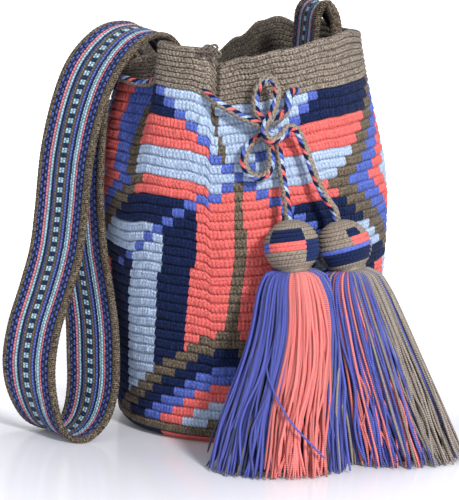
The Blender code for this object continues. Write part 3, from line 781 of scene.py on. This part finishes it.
def make_strap(cloth, edge):
    front = curve_through([p for p, _ in STRAP], 18)
    rear = curve_through([np.add(p, w) for p, w in STRAP], 18)
    middle = (front + rear) / 2
    along = unit(np.gradient(middle, axis=0))
    across = unit(rear - front)
    normal = unit(np.cross(along, across))
    far = walked(middle)
    inset = EDGE_WIDTH * 0.7
    left, right = rear - across * inset, front + across * inset
    share = np.linspace(0, 1, WARPS + 1)
    top = left[:, None] + (right - left)[:, None] * share[None, :, None]
    rib = 0.00015 * np.where(np.arange(WARPS + 1) % 2, 1, -1)
    faces = [top + normal[:, None] * side * (STRAP_THICK / 2 + rib)[None, :, None] for side in (1, -1)]
    ring = np.concatenate([faces[0], faces[1][:, ::-1]], axis=1)
    edge_share = EDGE_WIDTH / STRAP_WIDTH
    across_uv = edge_share + share * (1 - 2 * edge_share)
    u = np.concatenate([across_uv, across_uv[::-1], across_uv[:1]])
    band = add_grid("strap_band", ring, grid_uv(u, far / STRAP_PERIOD), [cloth])
    place(band, "shoulder_strap")
    for name, line, out, wide in (("strap_edge_front", front, -1, 1.6), ("strap_edge_rear", rear, 1, 1.0)):
        # Near its sewn right end the strap's edge is worked over thickly and rolled.
        thick = 1 + 1.1 * np.clip(1 - far / SEWN_END, 0, 1) ** 0.5
        half = EDGE_WIDTH / 2 * wide
        centre = line - across * out * (half * thick)[:, None]
        make_rope(name, centre, half, 0.0023 + 0.0008 * (wide - 1), edge, normal, across * out, 0.0036,
                  "shoulder_strap", thick)


def make_rope(name, line, half_wide, half_thick, material, up, side, pitch, node, thick=None):
    """An edge worked in yarn: a rounded bead with slanting stitches."""
    fine = evenly(line, pitch / 3)
    far = walked(line)
    at = np.linspace(0, far[-1], len(fine))
    up = unit(resampled(up, far, at))
    side = unit(resampled(side, far, at))
    thick = np.ones(len(at)) if thick is None else np.interp(at, far, thick)
    count = 9
    turn = full_turn(count)
    lay = at[:, None] / pitch + turn[None, :] / (2 * math.pi)
    swell = (1 + 0.07 * np.cos(2 * math.pi * lay)) * thick[:, None]
    ring = tube(fine, side, up, turn, half_wide * swell, half_thick * swell)
    uv = grid_uv(np.arange(count + 1) / count, at / pitch)
    place(add_grid(name, ring, uv, [material]), node)


# The drawstring

def cord_route():
    ends = []
    for side in TASSELS:
        centre, up = np.array(TASSELS[side][0]), unit(np.array(TASSELS[side][1]))
        ends.append([centre + up * reach for reach in (CORD_END, CAP_RADIUS + 0.002, CAP_RADIUS + 0.009)])
    ring = []
    for out, angles in ROUND_THE_RIM:
        for angle in angles:
            at = np.array([float(angle)])
            h = round_the_bag(BAND_FOOT, at) + EYELET_LIFT
            ring.append(around(at, wall_radius(at, h) - WALL / 2 + out, h)[0])
    stops = [*ends[0], *LEFT_TAIL, *LOWER_LOOP, *TO_LEFT_EYELET, *ring, *FROM_RIGHT_EYELET, *UPPER_LOOP,
             *RIGHT_TAIL, *reversed(ends[1])]
    return curve_through(stops, 16)


def tube_frames(line, seen_from=None):
    """Directions across a line that turn with it as little as they can, or keep one side to the viewer."""
    along = unit(np.gradient(line, axis=0))
    side = np.zeros_like(along)
    side[0] = unit(np.cross(along[0], (0.3, 1.0, 0.2)))
    for k in range(1, len(line)):
        s = side[k - 1]
        if seen_from is not None:
            s = s * 0.9 + np.cross(along[k], seen_from) * 0.1
        s = s - along[k] * s.dot(along[k])
        side[k] = s / np.linalg.norm(s)
    return side, np.cross(along, side)


def make_cord(material):
    line = evenly(cord_route(), 0.0011)
    side, up = tube_frames(line, (0.0, 1.0, 0.0))
    count = 14
    turn = full_turn(count)
    far = walked(line)
    lay = far[:, None] / CORD_PLAIT + 2 * turn[None, :] / math.pi
    r = CORD_RADIUS * (0.97 + 0.07 * np.abs(np.sin(lay * math.pi / 2)))
    uv = grid_uv(np.arange(count + 1) / count, far / CORD_COLOURS)
    piece = add_grid("drawstring_braid", tube(line, side, up, turn, r, r), uv, [material])
    place(piece, "drawstring")


# The tassels

def axes_of(up):
    up = unit(np.array(up, float))
    across = unit(np.array((1.0, 0, 0)) - up * up[0])
    return across, np.cross(up, across), up


def cap_yarn(side, down, angle):
    """Yarn of a cap at an angle down from its top and one from its front, in degrees."""
    for yarn, top, foot, left, right in CAP_PATCHES[side]:
        if top <= down < foot and left <= angle < right:
            return yarn
    return "taupe"


def make_cap(side, materials):
    """Crocheted ball: rounds of stitches from the cord's hole down to the neck."""
    centre = np.array(TASSELS[side][0])
    across, deep, axis = axes_of(TASSELS[side][1])
    per_round = 5
    cols = CAP_STITCHES * 3
    start, stop = math.asin(CAP_HOLE / CAP_RADIUS), math.pi - math.asin(CAP_NECK / CAP_RADIUS)
    rings, pick, v = [], [], []
    turn = full_turn(cols)
    out = across * np.cos(turn)[:, None] + deep * np.sin(turn)[:, None]
    degrees = (np.degrees(turn) + 90 + 180) % 360 - 180
    post = 0.00025 * np.cos(2 * math.pi * np.arange(cols) / 3)
    for row in range(CAP_ROUNDS):
        down = math.degrees(start + (stop - start) * (row + 0.5) / CAP_ROUNDS)
        for k in range(per_round):
            f = k / per_round
            t = start + (stop - start) * (row + f) / CAP_ROUNDS
            swell = 0.0016 * math.sin(math.pi * f) ** 0.6 - 0.0008
            r = CAP_RADIUS + swell + post
            rings.append(centre + axis * (math.cos(t) * CAP_RADIUS) + out * (math.sin(t) * r)[:, None])
            v.append(row + f)
            pick.append([CAP_YARNS.index(cap_yarn(side, down, d)) for d in degrees])
    for drop, width in ((0.0, CAP_NECK), (0.0025, 0.0126), (0.0035, 0.012)):
        rings.append(centre + axis * (math.cos(stop) * CAP_RADIUS - drop) + out * width)
        v.append(CAP_ROUNDS + drop * 200)
        pick.append([0] * cols)
    uv = grid_uv(np.arange(cols + 1) / 3.0, v)
    piece = add_grid(f"cap_crochet_{side}", np.array(rings), uv, materials, np.array(pick)[:-1], flip=True)
    place(piece, f"tassel_cap_{side}")


def strand_yarn(side, angle, depth, rng):
    """Yarn of a strand by its angle round the tassel (0 in front, positive to the right) and its layer."""
    angle += rng.gauss(0, 2)
    chance = rng.random()
    if side == "left":
        if -14 < angle < 52:
            return "coral"
        if -120 < angle <= -14:
            dark = 0.08 if depth > OUTER_LAYER else 0.4
            return "periwinkle" if chance > dark else "navy" if chance > 0.4 * dark else "brown"
        return "periwinkle" if chance < 0.72 else "navy" if chance < 0.85 else "taupe"
    if angle > 26:
        return "taupe" if chance < 0.88 else "periwinkle"
    if -24 < angle < -8 or (depth < OUTER_LAYER and -40 < angle < 24):
        return "coral" if chance < 0.45 else "periwinkle"
    return "periwinkle" if chance < 0.74 else "taupe" if chance < 0.88 else "coral"


def skirt_spread(share):
    """How far a skirt has spread at a share of its way down: it domes out of the neck, then opens slowly."""
    return 0.42 * (1 - np.exp(-share / 0.035)) + 0.58 * share


def on_its_side(points, side):
    """The points, pushed back where one skirt would reach past the slanting plane on which the two meet."""
    neck = sum(np.array(TASSELS[s][0]) for s in TASSELS) / 2
    foot = sum(np.array((*TASSELS[s][2], 0)) for s in TASSELS) / 2
    face = unit(np.array(SKIRTS_FACE)) * (1 if side == "left" else -1)
    plane = foot + (neck - foot) * points[:, 2:] / neck[2]
    past = np.maximum((points - plane) @ face + SKIRT_GAP, 0)
    return points - face * past[:, None]


def skirt_strand(side, angle, depth, shares, short, sway, wave):
    """The way of one strand from the neck, domed at first, down to the floor or a little short of it."""
    centre, up, foot, half = TASSELS[side]
    across, deep, axis = axes_of(up)
    neck = np.array(centre) - axis * NECK_DROP
    end = np.array((foot[0], foot[1], 0.0))
    s = shares[:, None]
    straight = neck - axis * neck[2] * s
    middle = straight + (neck + (end - neck) * s - straight) * ease(s * 1.3)
    level = ease(s * 2.5)
    u = across + (np.array((1, 0, 0)) - across) * level
    v = deep + (np.array((0, 1, 0)) - deep) * level
    spread = skirt_spread(s) * depth
    wide = NECK_RADIUS * 0.9 + (half[0] - NECK_RADIUS) * spread
    thick = NECK_RADIUS * 0.9 + (half[1] - NECK_RADIUS) * spread
    wander = sway * s * np.sin(wave[0] + s * wave[1])
    points = (middle + u * (wide * math.sin(angle) + wander * math.cos(angle))
              - v * (thick * math.cos(angle) - wander * math.sin(angle)))
    # The dome: strands leave the neck nearly level, so they start a little higher than the spread gives.
    points[:, 2] = neck[2] * (1 - shares) + DOME_RISE * bell((shares - 0.035) / 0.03) * depth
    points[:, 2] = short + points[:, 2] * (1 - short / neck[2])
    return on_its_side(points, side)


def add_strand(line, number, yarn, radius, sides, parts):
    """Appends the tube of one strand to the parts of a mesh: points, quads, uv and yarns."""
    steps = len(line)
    turn = full_turn(sides)
    size = radius * np.where(np.arange(steps) == steps - 1, 0.55, 1.0)[:, None]
    ring = tube(line, *tube_frames(line), turn, size, size)
    ring[..., 2] = np.maximum(ring[..., 2], 0)
    base = sum(len(p) for p in parts[0])
    round_it = number + np.arange(sides + 1) / sides * 0.999
    quads, uv = faces_over(steps, sides, grid_uv(round_it, walked(line) / STRAND_PITCH))
    for part, new in zip(parts, (ring.reshape(-1, 3), base + quads, uv, np.full(len(quads), yarn))):
        part.append(new)


def make_skirt(side, materials):
    """The tassel's skirt of single plied strands in three layers, with ends of uneven length."""
    rng = random.Random(SKIRT_SEEDS[side])
    shares = np.concatenate([np.linspace(0, 0.16, 9)[:-1], np.linspace(0.16, 1, 15)])
    parts = ([], [], [], [])
    number = 0
    for layer, (count, depth, radius) in enumerate(SKIRT_LAYERS):
        for k in range(count):
            degrees = 360 * (k + rng.random() * 0.9) / count - 180
            yarn = WALL_YARNS.index(strand_yarn(side, degrees, depth, rng))
            short = rng.uniform(0, 0.014) if rng.random() < 0.35 else rng.uniform(0, 0.002)
            lock = 1 + 0.03 * math.sin(degrees * 0.21) + 0.02 * math.sin(degrees * 0.47 + layer)
            sway, wave = rng.gauss(0, 0.0042), (rng.uniform(0, 6.28), rng.uniform(4, 14))
            deep = depth * (lock + rng.gauss(0, 0.06))
            line = skirt_strand(side, math.radians(degrees), deep, shares, short, sway, wave)
            add_strand(line, number, yarn, radius * rng.uniform(0.85, 1.15), 6, parts)
            number += 1
    for yarn, *stops in LOOSE_STRANDS.get(side, ()):
        line = evenly(curve_through(stops, 8), 0.004)
        add_strand(line, number, WALL_YARNS.index(yarn), LOOSE_RADIUS, 6, parts)
        number += 1
    piece = build(f"tassel_strands_{side}", *(np.concatenate(part) for part in parts[:3]), materials,
                  np.concatenate(parts[3]))
    place(piece, f"tassel_yarn_{side}")


def make_core(side, material):
    """The inner strands taken together, which shut out the light behind the outer ones. They are drawn in
    navy, darker than the strands they stand for: painted shade between the outer strands.
    """
    shares = np.linspace(0, 1, 20)
    cols = 96
    lines = [skirt_strand(side, 2 * math.pi * k / cols, CORE_DEPTHS[k % 2], shares, 0.004, 0, (0, 0))
             for k in range(cols)]
    rings = np.array(lines).transpose(1, 0, 2)
    uv = grid_uv(np.arange(cols + 1) / 2.0, shares * 60)
    piece = add_grid(f"tassel_core_{side}", rings, uv, [material], flip=True)
    place(piece, f"tassel_yarn_{side}")


# Stage

def make_stage():
    """A pale, slightly glossy floor that runs back out of sight; the camera sees it white far off, and behind
    the bag, where its glow is painted light over the bag's shadow.
    """
    bpy.ops.mesh.primitive_plane_add(size=60, location=(0, 10, 0))
    floor = bpy.context.object
    floor.name = "floor"
    n = Nodes("floor")
    where = n.add("ShaderNodeNewGeometry").outputs["Position"]
    away = n.add("ShaderNodeVectorMath", {0: where}, operation="LENGTH").outputs["Value"]
    back = n.add("ShaderNodeSeparateXYZ", {0: where}).outputs["Y"]
    # Painted light: a glow that only camera rays see, rising with distance and behind the bag, whitens the
    # floor and the shadow there; near the bag's front the floor keeps its shadow.
    far = n.within(n.total(-0.15, (away, 0.9)), 0.0, 0.75)
    behind = n.within(n.total(0.14, (back, 2.8)), 0.0, 0.42)
    seen = n.add("ShaderNodeLightPath").outputs["Is Camera Ray"]
    n.feed(n.shader, {
        "Base Color": (0.84, 0.85, 0.92, 1), "Roughness": 0.16, "Specular IOR Level": 0.5,
        "Emission Color": (1, 1, 1, 1), "Emission Strength": n.times(n.total(0.03, far, behind), seen),
    })
    floor.data.materials.append(n.material)


def area_light(name, place_at, aim, size, power, colour=(1, 1, 1)):
    light = bpy.data.lights.new(name, "AREA")
    light.size = size
    light.energy = power
    light.color = colour
    lamp = bpy.data.objects.new(name, light)
    lamp.location = place_at
    lamp.rotation_euler = (Vector(aim) - Vector(place_at)).to_track_quat("-Z", "Y").to_euler()
    bpy.context.collection.objects.link(lamp)


def make_lights():
    area_light("key", (1.15, -2.05, 1.6), (0, 0, 0.15), 0.4, 66, (1.0, 0.99, 0.97))
    area_light("fill", (-1.9, -1.9, 0.9), (0, 0, 0.15), 1.8, 3, (0.93, 0.96, 1.0))
    area_light("top", (0.3, 0.8, 2.2), (0, 0, 0.1), 1.4, 20)
    world = bpy.data.worlds.new("studio")
    bpy.context.scene.world = world
    world.use_nodes = True
    background = world.node_tree.nodes["Background"]
    background.inputs[0].default_value = (0.97, 0.98, 1.0, 1)
    background.inputs[1].default_value = 0.43


def make_camera():
    lens = bpy.data.cameras.new("camera")
    lens.lens = CAMERA_LENS
    lens.sensor_width = 36
    lens.clip_end = 100
    camera = bpy.data.objects.new("camera", lens)
    tilt = math.radians(CAMERA_ELEVATION)
    camera.location = CAMERA_TARGET + Vector((0, -math.cos(tilt), math.sin(tilt))) * CAMERA_DISTANCE
    camera.rotation_euler = (math.pi / 2 - tilt, 0, 0)
    bpy.context.collection.objects.link(camera)
    bpy.context.scene.camera = camera


def main():
    make_camera()
    yarns = [crochet(name) for name in WALL_YARNS]
    make_rows("bag_rim", -RIM_ROWS, 0, yarns, 1)
    make_rows("bag_upper_rows", 0, ROWS // 2, yarns, 2)
    make_rows("bag_lower_rows", ROWS // 2, ROWS, yarns, 3)
    edge = rope("edge_yarn", "taupe", 2.0, 3.0, 0.5, fleck=1.4, shade=0.66)
    make_rim_edge(edge)
    make_tuft(edge)
    # The inner face's yarns are drawn at 0.45 of their colour: painted shade of the bag's interior.
    make_inside([crochet(name, 0.45) for name in WALL_YARNS])
    make_base(yarns)
    strap_edge = rope("strap_edge", "brown", 2.0, 3.0, 0.5, fleck=1.6, shade=0.9)
    make_strap(strap_cloth(), strap_edge)
    make_cord(braid())
    strands = [rope(f"strand_{name}", STRAND_YARNS.get(name, name), 1.5, 1.37, 0.54, gloss_and_painted_glint=True)
               for name in WALL_YARNS]
    # The caps' yarns are drawn at 1.25 of their colour: painted light, a lit copy of the body's crochet.
    caps = [crochet(name, 1.25, 0.35) for name in CAP_YARNS]
    for side in TASSELS:
        make_cap(side, caps)
        make_skirt(side, strands)
        # The core's navy is painted shade between the outer strands.
        make_core(side, strands[WALL_YARNS.index("navy")])
        for node, name in ((f"neck_binding_{side}", "taupe"), (f"cord_knot_{side}", "navy")):
            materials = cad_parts[node].data.materials
            materials.clear()
            materials.append(strands[WALL_YARNS.index(name)])
    make_stage()
    make_lights()
    bpy.context.scene.view_settings.view_transform = "Standard"


main()
